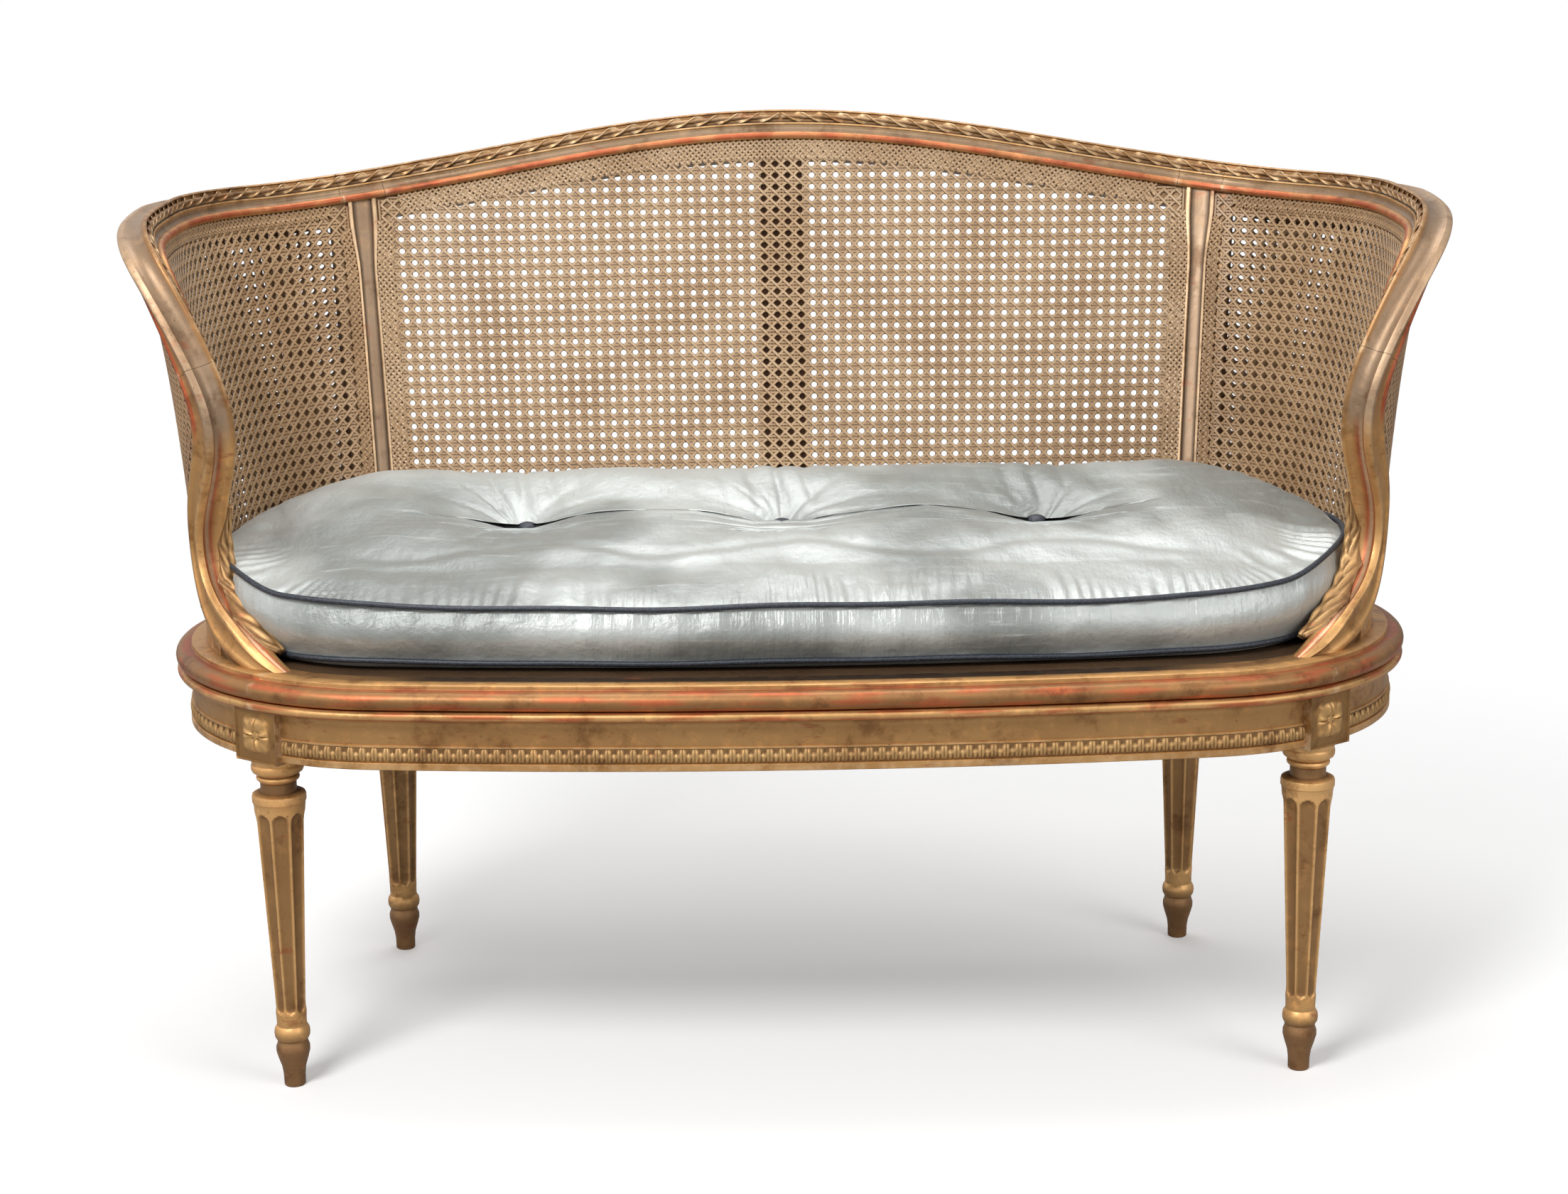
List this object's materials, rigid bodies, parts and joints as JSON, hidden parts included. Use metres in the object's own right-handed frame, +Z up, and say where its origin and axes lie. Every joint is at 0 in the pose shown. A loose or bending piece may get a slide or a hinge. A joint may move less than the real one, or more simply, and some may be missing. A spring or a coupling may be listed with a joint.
{
  "type": "sofa",
  "caption": "Two-seat giltwood sofa with a caned basket back, carved seat rails, turned fluted legs and a loose tufted silk cushion.",
  "frame": {"origin": "middle of the settee's footprint box, on the floor", "axes": "+X to the sitter's left along the settee's length, -Y to its front, +Z up"},
  "size_m": [1.3062, 0.6607, 0.9133],
  "materials": {
    "gilt_wood": "worn water gilding over red bole on carved beech",
    "bare_wood": "bare oiled wood inside the frame",
    "cane": "aged woven rattan cane",
    "silk": "slubbed silver blue-grey silk",
    "piping": "dark slate covered cord",
    "button_cover": "dark slate covered button"
  },
  "bodies": {
    "frame": {"arm_dowels": "bare_wood", "back_bottom_rail": "gilt_wood", "back_cane": "cane", "back_seat_rail": "gilt_wood", "center_back_post": "gilt_wood", "crest_dowels": "bare_wood", "crest_rail": "gilt_wood", "front_left_leg": "gilt_wood", "front_right_leg": "gilt_wood", "front_seat_rail": "gilt_wood", "left_arm_rail": "gilt_wood", "left_arm_support": "gilt_wood", "left_back_stile": "gilt_wood", "left_bottom_rail": "gilt_wood", "left_inner_cane": "cane", "left_outer_cane": "cane", "left_seat_rail": "gilt_wood", "rear_left_leg": "gilt_wood", "rear_right_leg": "gilt_wood", "right_arm_rail": "gilt_wood", "right_arm_support": "gilt_wood", "right_back_stile": "gilt_wood", "right_bottom_rail": "gilt_wood", "right_inner_cane": "cane", "right_outer_cane": "cane", "right_seat_rail": "gilt_wood", "seat_cane": "cane", "seat_cross_brace": "bare_wood", "seat_frame_pegs": "bare_wood"},
    "cushion": {"seat_cushion": "silk", "top_piping": "piping", "bottom_piping": "piping", "tuft_buttons": "button_cover"}
  },
  "joints": [
    {"name": "cushion_lift", "type": "slide", "parent": "frame", "child": "cushion", "axis": [0, 0, 1], "range_m": [0, 0.43]}
  ]
}
